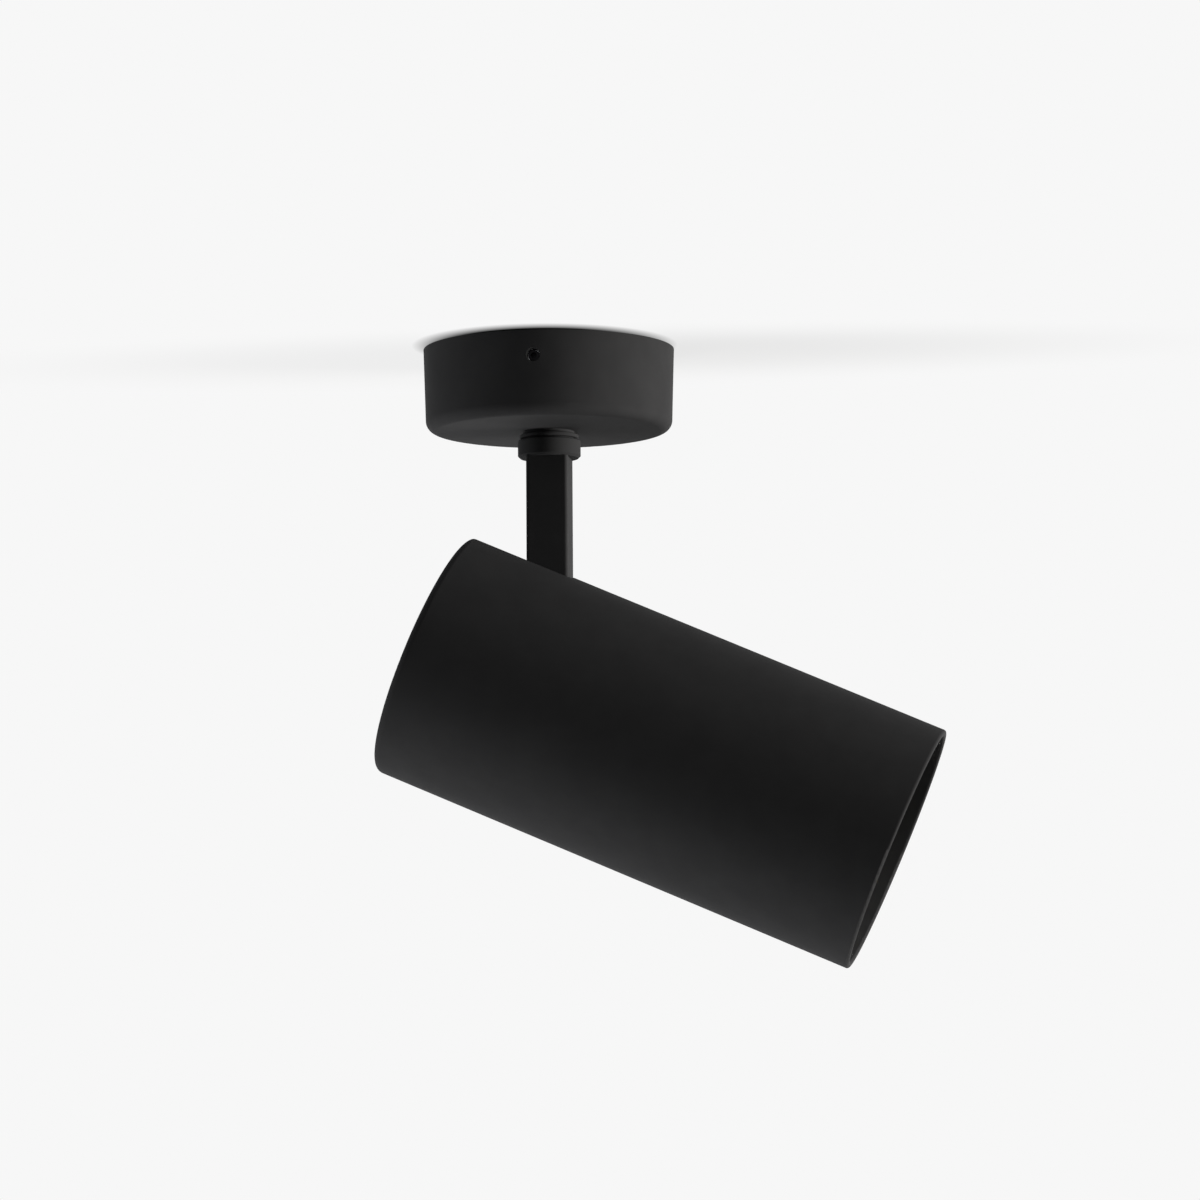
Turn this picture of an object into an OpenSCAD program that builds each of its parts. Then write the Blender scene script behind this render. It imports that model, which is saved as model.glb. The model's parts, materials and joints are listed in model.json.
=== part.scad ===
// Surface mounted ceiling spotlight: a round rose, a swivelling bar arm and a tilting cylindrical head.
// Origin at the centre of the ceiling face, +Z up. The head points to +X and leans down by tilt_least.

/* [Rose] */
// Diameter of the rose at the ceiling
rose_d = 70; // [69:0.5:84]
// Height of the rose
rose_h = 23; // [22:0.5:30]
// Loss of radius from the ceiling down to the floor of the rose
rose_draft = 0.7; // [0.3:0.1:1.2]
// Wall of the rose
rose_wall = 1.8; // [1.4:0.1:2.2]
// Floor of the rose
rose_floor = 2.2; // [1.8:0.1:2.8]
// Rounding of the lower edge of the rose
rose_round = 3; // [2.4:0.1:4.5]

/* [Ceiling bracket] */
// Sheet thickness of the bracket
plate_t = 1.5; // [1.2:0.1:2]
// Gap between the bracket and the wall of the rose
plate_gap = 0.6; // [0.4:0.1:1]
// Distance between the two slots for the ceiling screws
slot_pitch = 50; // [48:0.5:52]
// Width of a ceiling screw slot
slot_w = 4.5; // [4:0.1:5]
// Length of a ceiling screw slot from end to end
slot_l = 9; // [7:0.5:9]
// Diameter of the cable hole
cable_hole_d = 12; // [9:0.5:14]
// Width of a bent ear
ear_w = 12; // [10:0.5:14]
// Depth of the ears below the ceiling
ear_drop = 11; // [10:0.5:13]
// Depth of the set screws below the ceiling
set_drop = 6.9; // [6.5:0.1:7.5]
// Diameter of the set screw holes in the rose
set_hole_d = 3.4; // [3.3:0.1:3.8]

/* [Swivel] */
// Thread diameter of the hollow nipple
nipple_d = 10; // [9.5:0.1:10.4]
// Bore of the hollow nipple
nipple_bore = 7; // [6.4:0.1:7.2]
// Diameter of the bearing ring that shows under the rose
bush_d = 16.4; // [15.6:0.1:17]
// Diameter of the collar
collar_d = 17.5; // [17.2:0.1:20]
// Height of the collar
collar_h = 5; // [4.6:0.1:8]
// Chamfer on the lower edge of the collar
collar_chamfer = 0.65; // [0.3:0.05:1]
// Distance of the stop pin from the swivel axis
stop_r = 11.5; // [11.3:0.1:12]

/* [Arm] */
// Drop from the ceiling to the tilt pivot
pivot_drop = 99.6; // [92:0.2:130]
// Width of the arm, seen from the side of the head
arm_w = 11.5; // [11.3:0.1:12.5]
// Depth of the arm, along the pivot
arm_t = 14; // [13.4:0.1:14.8]
// Wall of the arm
arm_wall = 1.5; // [1.3:0.1:1.6]
// Rounding of the long edges of the arm
arm_round = 0.8; // [0.3:0.1:1.2]

/* [Head] */
// Outer diameter of the head
head_d = 70.5; // [69:0.5:80]
// Length of the head
head_l = 142; // [138:1:180]
// Wall of the head
head_wall = 2; // [1.6:0.1:2.4]
// Thickness of the closed back
back_t = 2; // [1.8:0.1:3]
// Rounding of the back edge
back_round = 2; // [1:0.1:4]
// Distance from the back of the head to the pivot
pivot_back = 38.1; // [36:0.2:46]
// Least lean of the head below level, which is how it is drawn
tilt_least = 23.3; // [12:0.1:35]
// Gap between the arm and each side of its slot
slot_side_gap = 0.8; // [0.6:0.1:1.2]

/* [Lamp] */
// Diameter of the lamp
lamp_d = 50; // [48:0.5:51]
// Length of the lamp from its seat to its lens
lamp_l = 46.7; // [44:0.1:50]
// Distance between the bayonet pins
pin_pitch = 10; // [9.8:0.1:10.2]
// Turn that frees the lamp
lamp_turn = 20; // [15:1:22]

/* [Hidden] */
$fn = 96;

// Colours
paint = "#1b1b1d";
zinc = "#b9bcc0";
black_oxide = [0.12, 0.12, 0.13];
brass = "#c9a24b";
ivory = "#e9e6dc";
fibre = "#7a4a35";
sleeve_white = "#e4e0d4";
brown = "#5a3320";

// Overrun of every cut, thread clearance, running clearance and seat clearance
over = 1;
thread_gap = 0.05;
run_gap = 0.05;
seat_gap = 0.1;

// Rose and bracket
rose_r = rose_d / 2;
rose_lean = rose_draft / rose_h;
rose_inner_round = max(rose_round - rose_wall, rose_wall / 2);
rose_ceiling = rose_h - rose_floor;
function rose_inside(depth) = rose_r - rose_lean * depth - rose_wall;
plate_r = rose_inside(plate_t) - plate_gap;
bend_r = 1;
ear_relief = 1;
ear_round = 2;
ear_reach = sqrt(pow(rose_inside(ear_drop) - plate_gap, 2) - pow(ear_w / 2, 2));
ear_root = ear_reach - plate_t - bend_r;
set_d = 3;
set_l = 5;
set_recess = 1.1;
set_hole_edge = 0.3;
set_mouth_d = set_hole_d + 2 * (set_hole_edge + over);
set_face = rose_r - rose_lean * set_drop;
set_socket = 1.5;
set_socket_depth = 1.6;
drive_length_share = 0.6;
drive_width_share = 0.14;

// Terminal block, on the far side of the cable hole
pole_pitch = 8;
poles = [-pole_pitch, 0, pole_pitch];
block_l = 3 * pole_pitch;
block_w = 15;
block_h = 12;
block_slab = 4.5;
block_round = 0.6;
block_gap_share = 0.55;
block_gap = (ear_root - cable_hole_d / 2 - block_w) * block_gap_share;
block_y = cable_hole_d / 2 + block_gap + block_w / 2;
block_ear = 5.5;
block_ear_w = 8;
block_ear_t = 2.5;
wire_drop = plate_t + block_slab;
wire_hole_r = 1.9;
barrel_r = 3.1;
tower_r = 2.7;
tower_y = 3.6;
clamp_l = 12;
clamp_wall = 0.55;
clamp_screw_d = 2.4;
clamp_head_d = 3.1;
clamp_head_h = 1.8;
clamp_slot_w = 0.6;
clamp_recess = 0.9;
tower_bore_r = clamp_head_d / 2 + seat_gap;
block_screw_d = 3;
block_head_d = 5.5;
block_head_h = 2;
screw_short = 0.1;

// Earth point and leads
earth_y = -18;
earth_d = 4;
earth_head_d = 7.6;
earth_head_h = 2.6;
lug_t = 0.8;
lug_r = 4.2;
lug_barrel_r = 1.6;
lug_barrel_l = 5;
lead_d = 1.8;
bundle_r = 1.2;
bundle_turns = [150, 30, 270];
lead_inset = 4.5;
lead_steps = 18;
lead_sides = 8;

// Swivel stack, from the collar upwards
nipple_r = nipple_d / 2;
bush_spigot_r = nipple_r + 1.1;
bush_neck_r = nipple_r + 2;
bush_neck_h = 0.9;
bush_flange_h = 1.1;
bush_rim = 0.35;
hub_r = nipple_r + 2.2;
hub_h = 0.45;
bush_foot = rose_h + bush_neck_h + bush_flange_h;
hub_top = bush_foot + run_gap;
collar_top = hub_top + hub_h;
collar_foot = collar_top + collar_h;
collar_edge = 0.3;
collar_thread = 3.6;
nipple_chamfer = 0.5;
nipple_foot = hub_top + collar_thread - 0.2;
washer_t = 0.8;
washer_r = 9;
tab_washer_t = 1.2;
tab_washer_r = 9.5;
tab_w = 2.8;
tab_reach = stop_r + 1.3;
cone_h = 1;
cone_t = 0.5;
cone_r = 8.5;
swivel_nut_h = 3;
swivel_nut_af = 14;
nipple_proud = 0.5;
washer_foot = rose_ceiling;
tab_foot = washer_foot - washer_t - run_gap;
cone_foot = tab_foot - tab_washer_t;
nut_foot = cone_foot - cone_h;
nipple_top = nut_foot - swivel_nut_h - nipple_proud;
nipple_flat = nipple_r - 0.6;
stop_pin_d = 3;
stop_pin_root = 1.2;
stop_pin_h = washer_t + run_gap + tab_washer_t + 1;

// Arm and cable
spigot_r = arm_w / 2 - arm_wall - seat_gap;
spigot_wall = 0.9;
spigot_l = 4;
bolt_d = 5;
sleeve_r = 4;
cable_r = 2.5;
cable_gap = 0.3;
cable_rise = 13;
cable_foot = pivot_drop - cable_rise;
window_top = 20;

// Head
head_r = head_d / 2;
bore_r = head_r - head_wall;
mouth_x = head_l - pivot_back;
back_x = -pivot_back;
back_inside = back_x + back_t;
inner_round = 0.8;
lip_round = 0.7;
slot_gap = 0.3;
slot_half = arm_t / 2 + slot_side_gap;
slot_low = arm_w / 2 + 2 * slot_gap;
slot_wall_z = sqrt(pow(bore_r, 2) - pow(slot_half, 2));
slot_front = -slot_wall_z * tan(tilt_least) + arm_w / 2 / cos(tilt_least) + slot_gap;

// Yoke and pivot hardware
disc_t = slot_side_gap - run_gap;
disc_d = 12;
yoke_in = slot_half;
yoke_t = 2;
yoke_bend = 1;
yoke_half_h = 11;
yoke_round = 3;
yoke_front = 14;
foot_reach = 22;
foot_hole_y = 15.5;
foot_screw_d = 3;
foot_head_d = 6;
foot_head_h = 1.6;
foot_screw_l = 6;
foot_drive_depth = 1.1;
light_slot_l = 15;
light_slot_w = 8;
lead_hole_r = 4.5;
flat_t = 1;
flat_d = 10;
bolt_head_d = 9.5;
bolt_head_h = 2.75;
bolt_head_round = 2.2;
bolt_socket = 3;
bolt_socket_depth = 1.6;
bolt_nut_af = 8;
bolt_nut_h = 3.6;
bolt_collar_h = 1.2;
bolt_proud = 0.8;
bolt_flat_y = yoke_in + yoke_t;
bolt_seat_y = bolt_flat_y + flat_t;

// Lampholder and lamp
holder_h = 20;
holder_r = 14;
holder_w = 20;
holder_round = 1.2;
holder_screw_z = 8.5;
holder_counter_depth = 12;
holder_screw_d = 3;
holder_screw_proud = 0.5;
holder_screw_l = holder_h - holder_counter_depth + yoke_t + holder_screw_proud;
holder_counter_r = 3;
holder_head_d = 5.5;
holder_head_h = 2;
holder_recess_r = 4.2;
holder_recess_depth = 7;
holder_face = yoke_front + holder_h;
pin_d = 3;
pin_head_d = 5;
pin_head_h = 2.8;
pin_l = 7;
pin_play = 0.3;
pin_end_play = 0.15;
blade_t = 0.4;
blade_w = 4;
pocket_depth = pin_l - pin_play + pin_end_play + blade_t;
pocket_lip = pin_l - pin_play - pin_head_h - pin_end_play;
tail_r = 0.5;
tail_at = holder_recess_r - tail_r;
tail_out = 3;
tail_l = tail_out + holder_h - holder_recess_depth - pocket_depth + blade_t;
lamp_seat = holder_face + pin_play;
lamp_face = lamp_seat + lamp_l;
lamp_base_r = 12.5;
lamp_base_h = 5;
lamp_neck_r = 14;
lamp_rim_h = 6;
lamp_round = 1;
lamp_step = 1.5;
fins = 20;
fin_slot_w = 2.4;
fin_depth = 3;
lens_t = 2.2;
lens_edge = 2.6;
lens_dome = 1;
lens_brim_share = 0.45;
lens_well_share = 0.3;
ring_wall = 1;
ring_l = 8;
ring_gap = 0.15;
ring_lip_gap = 0.4;
ring_lip_rise = 3;

// Geometry helpers
module rounded_square(w, h, r) {
    square([w - 2 * r, h], center = true);
    square([w, h - 2 * r], center = true);
    for (sx = [-1, 1])
        for (sy = [-1, 1])
            translate([sx * (w / 2 - r), sy * (h / 2 - r)])
                circle(r = r);
}

module long_hole(l, w) {
    square([l - w, w], center = true);
    for (side = [-1, 1])
        translate([side * (l - w) / 2, 0])
            circle(d = w);
}

module ring(r_out, r_in, h) {
    linear_extrude(height = h)
        difference() {
            circle(r = r_out);
            circle(r = r_in);
        }
}

// Half outline of a tapered cup that hangs from height zero, with a rounded lower edge
module cup_outline(r, h, lean, round_r) {
    lean_angle = atan(lean);
    centre = [r - round_r / cos(lean_angle) - (h - round_r) * lean, round_r - h];
    far_corner = centre + 2 * round_r * [1, -1];
    difference() {
        polygon([[0, 0], [r, 0], [r - lean * h, -h], [0, -h]]);
        difference() {
            polygon([
                centre,
                centre + 2 * round_r * [cos(lean_angle), -sin(lean_angle)],
                far_corner,
                [centre[0], far_corner[1]]
            ]);
            translate(centre)
                circle(r = round_r);
        }
    }
}

module in_head() {
    translate([0, 0, -pivot_drop])
        rotate([0, tilt_least, 0])
            children();
}

// Turns a shape that stands on +Z to lie along the head, starting at x
module along_head(x) {
    translate([x, 0, 0])
        rotate([0, 90, 0])
            children();
}

// Stands a shape along +Y
module along_y(y) {
    translate([0, y, 0])
        rotate([-90, 0, 0])
            children();
}

// Cross recess, centred on the face of a screw head
module cross_drive(head_d, depth) {
    for (turn = [0, 90])
        rotate([0, 0, turn])
            cube([head_d * drive_length_share, head_d * drive_width_share, depth], center = true);
}

// Pan head screw with its head below height zero and its shank above
module pan_screw(d, l, head_d, head_h) {
    difference() {
        union() {
            cylinder(d = d, h = l);
            translate([0, 0, -head_h])
                rotate_extrude()
                    intersection() {
                        translate([0, head_h / 2])
                            rounded_square(head_d, head_h, head_h / 3);
                        square([head_d, head_h]);
                    }
        }
        translate([0, 0, -head_h])
            cross_drive(head_d, head_h);
    }
}

module hex_nut(af, h, bore_r) {
    corner_r = af / 2 / cos(30);
    bevel = corner_r - af / 2;
    difference() {
        intersection() {
            cylinder(r = corner_r, h = h, $fn = 6);
            rotate_extrude()
                polygon([
                    [0, 0],
                    [corner_r - bevel, 0],
                    [corner_r, bevel / 2],
                    [corner_r, h - bevel / 2],
                    [corner_r - bevel, h],
                    [0, h]
                ]);
        }
        translate([0, 0, -over])
            cylinder(r = bore_r, h = h + 2 * over);
    }
}

// Lead swept along a cubic curve through four control points
function unit(v) = v / norm(v);
function bezier(p, t) =
    pow(1 - t, 3) * p[0] + 3 * pow(1 - t, 2) * t * p[1] + 3 * (1 - t) * pow(t, 2) * p[2]
    + pow(t, 3) * p[3];
function bezier_slope(p, t) =
    unit(pow(1 - t, 2) * (p[1] - p[0]) + 2 * (1 - t) * t * (p[2] - p[1])
    + pow(t, 2) * (p[3] - p[2]));
function square_to(n, t) = unit(n - (n * t) * t);
function carried(slopes, n, i = 0) =
    i == len(slopes)
    ? []
    : let (m = square_to(n, slopes[i])) concat([m], carried(slopes, m, i + 1));

module lead(p, d, start_normal) {
    shares = [for (i = [0 : lead_steps]) i / lead_steps];
    slopes = [for (s = shares) bezier_slope(p, s)];
    normals = carried(slopes, start_normal);
    rings = [
        for (i = [0 : lead_steps])
            for (k = [0 : lead_sides - 1])
                let (turn = 360 * k / lead_sides)
                bezier(p, shares[i])
                + d / 2 * (cos(turn) * normals[i] + sin(turn) * cross(slopes[i], normals[i]))
    ];
    sides = [
        for (i = [0 : lead_steps - 1])
            for (k = [0 : lead_sides - 1])
                let (
                    a = i * lead_sides + k,
                    b = i * lead_sides + (k + 1) % lead_sides
                )
                each [
                    [a, a + lead_sides, b],
                    [b, a + lead_sides, b + lead_sides]
                ]
    ];
    first_cap = [for (k = [1 : lead_sides - 2]) [0, k, k + 1]];
    last = lead_steps * lead_sides;
    last_cap = [for (k = [1 : lead_sides - 2]) [last, last + k + 1, last + k]];
    polyhedron(points = rings, faces = concat(sides, first_cap, last_cap));
}

// Parts held by the ceiling
module ceiling_bracket() {
    color(zinc)
        difference() {
            union() {
                translate([0, 0, -plate_t])
                    linear_extrude(height = plate_t)
                        difference() {
                            circle(r = plate_r);
                            for (side = [-1, 1])
                                translate([0, side * (ear_root + plate_r / 2)])
                                    square([ear_w + 2 * ear_relief, plate_r], center = true);
                        }
                for (turn = [0, 180])
                    rotate([0, 0, turn])
                        bent_ear();
            }
            translate([0, 0, -plate_t - over])
                linear_extrude(height = plate_t + 2 * over) {
                    circle(d = cable_hole_d);
                    for (side = [-1, 1])
                        translate([side * slot_pitch / 2, 0])
                            long_hole(slot_l, slot_w);
                    for (side = [-1, 1])
                        translate([side * (block_l + block_ear) / 2, block_y])
                            circle(r = block_screw_d / 2 + thread_gap);
                    translate([0, earth_y])
                        circle(r = earth_d / 2 + thread_gap);
                }
            translate([0, 0, -set_drop])
                along_y(-plate_r - over)
                    cylinder(r = set_d / 2 + thread_gap, h = 2 * (plate_r + over));
        }
}

// Ear that leaves the plate at ear_root, bends down and ends at ear_drop
module bent_ear() {
    rotate([90, 0, 90])
        linear_extrude(height = ear_w, center = true)
            translate([ear_root, -plate_t - bend_r])
                intersection() {
                    difference() {
                        circle(r = bend_r + plate_t);
                        circle(r = bend_r);
                    }
                    square(bend_r + plate_t);
                }
    translate([0, ear_reach, -plate_t - bend_r])
        rotate([90, 0, 0])
            linear_extrude(height = plate_t)
                ear_outline();
}

module ear_outline() {
    leg = ear_drop - plate_t - bend_r;
    translate([-ear_w / 2, -leg + ear_round])
        square([ear_w, leg - ear_round]);
    translate([-ear_w / 2 + ear_round, -leg])
        square([ear_w - 2 * ear_round, leg]);
    for (side = [-1, 1])
        translate([side * (ear_w / 2 - ear_round), -leg + ear_round])
            circle(r = ear_round);
}

module rose_cover() {
    color(paint)
        difference() {
            rotate_extrude()
                cup_outline(rose_r, rose_h, rose_lean, rose_round);
            rotate_extrude()
                cup_outline(rose_r - rose_wall, rose_ceiling, rose_lean, rose_inner_round);
            cylinder(r = rose_r - rose_wall, h = over);
            translate([0, 0, -rose_h - over])
                cylinder(r = bush_spigot_r + seat_gap, h = rose_floor + 2 * over);
            translate([-stop_r, 0, -rose_ceiling - stop_pin_root])
                cylinder(r = stop_pin_d / 2 + thread_gap, h = stop_pin_root + over);
            for (turn = [0, 180])
                rotate([0, 0, turn])
                    translate([0, 0, -set_drop]) {
                        along_y(0)
                            cylinder(d = set_hole_d, h = rose_r + over);
                        along_y(set_face - set_hole_edge)
                            cylinder(d1 = set_hole_d, d2 = set_mouth_d, h = set_hole_edge + over);
                    }
        }
}

module rose_set_screws() {
    color(black_oxide)
        for (turn = [0, 180])
            rotate([0, 0, turn])
                translate([0, set_face - set_recess - set_l, -set_drop])
                    along_y(0)
                        difference() {
                            cylinder(d = set_d, h = set_l);
                            translate([0, 0, set_l - set_socket_depth])
                                cylinder(d = set_socket / cos(30), h = set_socket_depth + over, $fn = 6);
                        }
}

module terminal_block() {
    color(ivory)
        translate([0, block_y, 0])
            difference() {
                union() {
                    translate([0, 0, -plate_t - block_slab])
                        linear_extrude(height = block_slab)
                            rounded_square(block_l, block_w, block_round);
                    translate([0, 0, -plate_t - block_ear_t])
                        linear_extrude(height = block_ear_t)
                            rounded_square(block_l + 2 * block_ear, block_ear_w, block_round);
                    for (x = poles) {
                        translate([x, 0, -wire_drop])
                            along_y(-block_w / 2)
                                cylinder(r = barrel_r, h = block_w);
                        for (side = [-1, 1])
                            translate([x, side * tower_y, -plate_t - block_h])
                                cylinder(r = tower_r, h = block_h - block_slab);
                    }
                }
                for (x = poles) {
                    translate([x, 0, -wire_drop])
                        along_y(-block_w / 2 - over)
                            cylinder(r = wire_hole_r, h = block_w + 2 * over);
                    for (side = [-1, 1])
                        translate([x, side * tower_y, -plate_t - block_h - over])
                            cylinder(r = tower_bore_r, h = block_h - block_slab + over);
                }
                for (side = [-1, 1])
                    translate([side * (block_l + block_ear) / 2, 0, -plate_t - block_slab])
                        cylinder(r = block_screw_d / 2 + seat_gap, h = block_slab + over);
            }
}

module terminal_clamps() {
    clamp_r = wire_hole_r - thread_gap;
    color(brass)
        for (x = poles)
            translate([x, block_y, -wire_drop])
                difference() {
                    along_y(-clamp_l / 2)
                        ring(clamp_r, clamp_r - clamp_wall, clamp_l);
                    for (side = [-1, 1])
                        translate([0, side * tower_y, -wire_hole_r - over])
                            cylinder(r = clamp_screw_d / 2 + thread_gap, h = wire_hole_r + over);
                }
}

module terminal_screws() {
    clamp_screw_l = block_h - block_slab - clamp_recess - clamp_head_h - lead_d / 2 - thread_gap;
    color(zinc)
        for (x = poles)
            for (side = [-1, 1])
                translate([x, block_y + side * tower_y, -plate_t - block_h + clamp_recess])
                    difference() {
                        union() {
                            cylinder(d = clamp_head_d, h = clamp_head_h);
                            cylinder(d = clamp_screw_d, h = clamp_head_h + clamp_screw_l);
                        }
                        cube([2 * clamp_head_d, clamp_slot_w, clamp_head_h], center = true);
                    }
}

module block_screws() {
    color(zinc)
        for (side = [-1, 1])
            translate([side * (block_l + block_ear) / 2, block_y, -plate_t - block_ear_t])
                pan_screw(block_screw_d, block_ear_t + plate_t - screw_short, block_head_d, block_head_h);
}

module earth_screw() {
    color(brass)
        translate([0, earth_y, -plate_t - lug_t])
            pan_screw(earth_d, lug_t + plate_t - screw_short, earth_head_d, earth_head_h);
}

module earth_lug() {
    color(zinc)
        translate([0, earth_y, -plate_t])
            difference() {
                union() {
                    translate([0, 0, -lug_t])
                        cylinder(r = lug_r, h = lug_t);
                    translate([lug_r - lug_t, -lug_barrel_r, -lug_t])
                        cube([lug_barrel_l / 2, 2 * lug_barrel_r, lug_t]);
                    translate([lug_r, 0, -lug_barrel_r])
                        rotate([0, 90, 0])
                            cylinder(r = lug_barrel_r, h = lug_barrel_l);
                }
                translate([0, 0, -lug_t - over])
                    cylinder(r = earth_d / 2 + seat_gap, h = lug_t + 2 * over);
                translate([lug_r + lug_barrel_l / 3, 0, -lug_barrel_r])
                    rotate([0, 90, 0])
                        cylinder(r = lug_barrel_r - clamp_wall, h = lug_barrel_l);
            }
}

// Where lead i of the bundle meets the nipple, at the given depth
function bundle_at(i, depth) =
    [bundle_r * cos(bundle_turns[i]), bundle_r * sin(bundle_turns[i]), -depth];

// Point on the axis of pole i, at the given distance inside its mouth
function pole_mouth(i, inset) = [poles[i], block_y - block_w / 2 + inset, -wire_drop];

module rose_leads() {
    color(brown)
        for (i = [0, 1])
            lead([
                pole_mouth(i, lead_inset),
                pole_mouth(i, -block_w / 2),
                bundle_at(i, wire_drop - lead_d),
                bundle_at(i, nipple_top)
            ], lead_d, [1, 0, 0]);
}

module earth_lead() {
    lug_end = [lug_r + lug_barrel_l + thread_gap, earth_y, -plate_t - lug_barrel_r];
    color("yellowgreen")
        lead([
            lug_end,
            lug_end + [cable_hole_d, 0, 0],
            bundle_at(2, 0),
            bundle_at(2, nipple_top)
        ], lead_d, [0, 0, 1]);
}

module pan_bush() {
    color(paint)
        rotate_extrude()
            difference() {
                union() {
                    translate([0, -rose_h])
                        square([bush_spigot_r, rose_floor]);
                    translate([0, -rose_h - bush_neck_h])
                        square([bush_neck_r, bush_neck_h]);
                    intersection() {
                        translate([0, -bush_foot + bush_flange_h / 2])
                            rounded_square(bush_d, bush_flange_h, bush_rim);
                        translate([0, -bush_foot])
                            square([bush_d, bush_flange_h]);
                    }
                }
                translate([0, -bush_foot - over])
                    square([nipple_r + run_gap, bush_foot]);
            }
}

module friction_washer() {
    color(fibre)
        translate([0, 0, -washer_foot])
            ring(washer_r, nipple_r + seat_gap, washer_t);
}

module stop_pin() {
    color(zinc)
        translate([-stop_r, 0, -rose_ceiling - stop_pin_root])
            cylinder(d = stop_pin_d, h = stop_pin_root + stop_pin_h);
}

// Parts that turn with the swivel
module swivel_collar() {
    collar_r = collar_d / 2;
    thread_r = nipple_r + thread_gap;
    color(paint)
        rotate_extrude()
            polygon([
                [thread_r, -hub_top],
                [hub_r, -hub_top],
                [hub_r, -collar_top],
                [collar_r - collar_edge, -collar_top],
                [collar_r, -collar_top - collar_edge],
                [collar_r, -collar_foot + collar_chamfer],
                [collar_r - collar_chamfer, -collar_foot],
                [spigot_r, -collar_foot],
                [spigot_r, -collar_foot - spigot_l],
                [spigot_r - spigot_wall, -collar_foot - spigot_l],
                [spigot_r - spigot_wall, -hub_top - collar_thread],
                [thread_r, -hub_top - collar_thread]
            ]);
}

module hollow_nipple() {
    color(zinc)
        difference() {
            rotate_extrude()
                difference() {
                    polygon([
                        [0, -nipple_foot],
                        [nipple_r - nipple_chamfer, -nipple_foot],
                        [nipple_r, -nipple_foot + nipple_chamfer],
                        [nipple_r, -nipple_top - nipple_chamfer],
                        [nipple_r - nipple_chamfer, -nipple_top],
                        [0, -nipple_top]
                    ]);
                    translate([0, -nipple_foot - over])
                        square([nipple_bore / 2, nipple_foot]);
                }
            translate([-nipple_d - nipple_flat, -nipple_d / 2, -tab_foot])
                cube([nipple_d, nipple_d, tab_foot]);
        }
}

module stop_washer() {
    color(zinc)
        translate([0, 0, -tab_foot])
            linear_extrude(height = tab_washer_t)
                difference() {
                    union() {
                        circle(r = tab_washer_r);
                        translate([0, -tab_w / 2])
                            square([tab_reach, tab_w]);
                    }
                    intersection() {
                        circle(r = nipple_r + seat_gap);
                        translate([-nipple_flat - seat_gap, -nipple_d])
                            square([2 * nipple_d, 2 * nipple_d]);
                    }
                }
}

module spring_washer() {
    color(zinc)
        translate([0, 0, -cone_foot])
            rotate_extrude()
                polygon([
                    [nipple_r + seat_gap, cone_h - cone_t],
                    [cone_r, 0],
                    [cone_r, cone_t],
                    [nipple_r + seat_gap, cone_h]
                ]);
}

module swivel_nut() {
    color(zinc)
        translate([0, 0, -nut_foot])
            hex_nut(swivel_nut_af, swivel_nut_h, nipple_r + thread_gap);
}

module arm_bar() {
    color(paint)
        difference() {
            intersection() {
                translate([0, 0, -pivot_drop - arm_w / 2])
                    linear_extrude(height = pivot_drop + arm_w / 2 - collar_foot)
                        rounded_square(arm_w, arm_t, arm_round);
                rotate([90, 0, 0])
                    linear_extrude(height = arm_t + 2 * over, center = true) {
                        translate([-arm_w, -pivot_drop])
                            square([2 * arm_w, pivot_drop]);
                        translate([0, -pivot_drop])
                            circle(d = arm_w);
                    }
            }
            translate([0, 0, -pivot_drop - arm_w])
                linear_extrude(height = pivot_drop + arm_w)
                    square([arm_w - 2 * arm_wall, arm_t - 2 * arm_wall], center = true);
            translate([0, -arm_t / 2 + arm_wall, -pivot_drop - arm_w])
                cube([arm_w, arm_t - 2 * arm_wall, arm_w + window_top]);
            translate([0, 0, -pivot_drop])
                along_y(-arm_t)
                    cylinder(r = bolt_d / 2 + run_gap, h = 2 * arm_t);
        }
}

module arm_sleeve() {
    sleeve_l = arm_t - 2 * arm_wall - 2 * thread_gap;
    color(zinc)
        translate([0, 0, -pivot_drop])
            along_y(-sleeve_l / 2)
                ring(sleeve_r, bolt_d / 2 + run_gap, sleeve_l);
}

module arm_cable() {
    color(sleeve_white)
        translate([0, 0, -cable_foot])
            cylinder(r = cable_r, h = cable_foot - nipple_top - cable_gap);
}

// Parts that tilt with the head
module head_tube() {
    color(paint)
        in_head()
            difference() {
                along_head(mouth_x)
                    rotate_extrude()
                        difference() {
                            cup_outline(head_r, head_l, 0, back_round);
                            cup_outline(bore_r, head_l - back_t, 0, inner_round);
                            lip_cut(bore_r, 1);
                            lip_cut(head_r, -1);
                        }
                translate([back_x - over, -slot_half, -slot_low])
                    cube([slot_front - back_x + over, 2 * slot_half, slot_low + head_r + over]);
                for (side = [-1, 1])
                    translate([0, side * foot_hole_y, 0])
                        along_head(back_x) {
                            translate([0, 0, -over])
                                cylinder(r = foot_screw_d / 2 + seat_gap, h = back_t + 2 * over);
                            countersink(foot_head_d + 2 * seat_gap);
                            translate([0, 0, -over])
                                cylinder(r = foot_head_d / 2 + seat_gap, h = over);
                        }
            }
}

// What rounds the mouth's edge at radius r, where the wall lies on the given side of it
module lip_cut(r, side) {
    centre = [r + side * lip_round, -lip_round];
    difference() {
        polygon([
            centre,
            [r - side * over, -lip_round],
            [r - side * over, over],
            [centre[0], over]
        ]);
        translate(centre)
            circle(r = lip_round);
    }
}

// Cone of a countersunk head, from its face inwards
module countersink(d) {
    cylinder(d1 = d, d2 = foot_screw_d, h = foot_head_h);
}

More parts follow.
